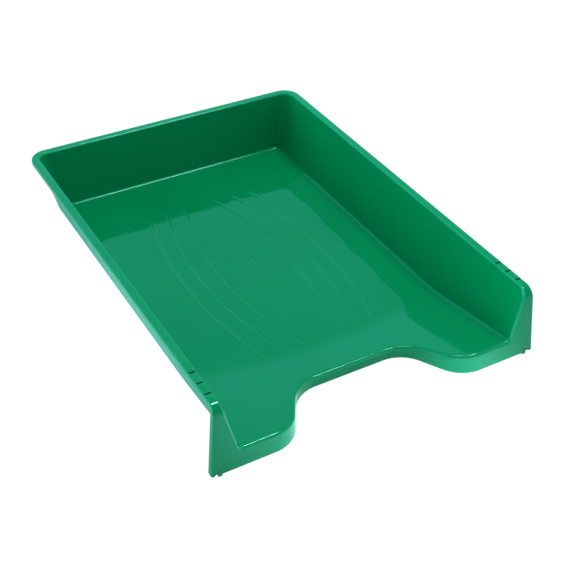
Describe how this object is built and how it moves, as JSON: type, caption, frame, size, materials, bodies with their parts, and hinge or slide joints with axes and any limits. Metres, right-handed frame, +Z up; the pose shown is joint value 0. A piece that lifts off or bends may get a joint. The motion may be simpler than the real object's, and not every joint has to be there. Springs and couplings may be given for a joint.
{
  "type": "stackable letter tray",
  "caption": "Glossy open-front desk letter tray with leaning walls, a flat rim, stacking slots, a shallow front ramp and a curved finger cut-out.",
  "frame": {"origin": "centre of the bounding box's underside, at the level of the rear feet and the front locating pegs", "axes": "+X across the tray, to its right as seen from the open front; +Y from the open front to the back wall; +Z up"},
  "size_m": [0.2656, 0.3522, 0.058],
  "materials": {
    "moulded_plastic": "glossy translucent green polystyrene, polished mould surface"
  },
  "bodies": {
    "root": {"floor_panel": "moulded_plastic", "front_ramp": "moulded_plastic", "cutout_lip": "moulded_plastic", "back_wall": "moulded_plastic", "back_rim": "moulded_plastic", "left_lip": "moulded_plastic", "left_wall": "moulded_plastic", "left_back_corner": "moulded_plastic", "left_rim": "moulded_plastic", "left_rim_corner": "moulded_plastic", "left_front_wing": "moulded_plastic", "left_rear_foot": "moulded_plastic", "right_lip": "moulded_plastic", "right_wall": "moulded_plastic", "right_back_corner": "moulded_plastic", "right_rim": "moulded_plastic", "right_rim_corner": "moulded_plastic", "right_front_wing": "moulded_plastic", "right_rear_foot": "moulded_plastic"}
  },
  "joints": []
}
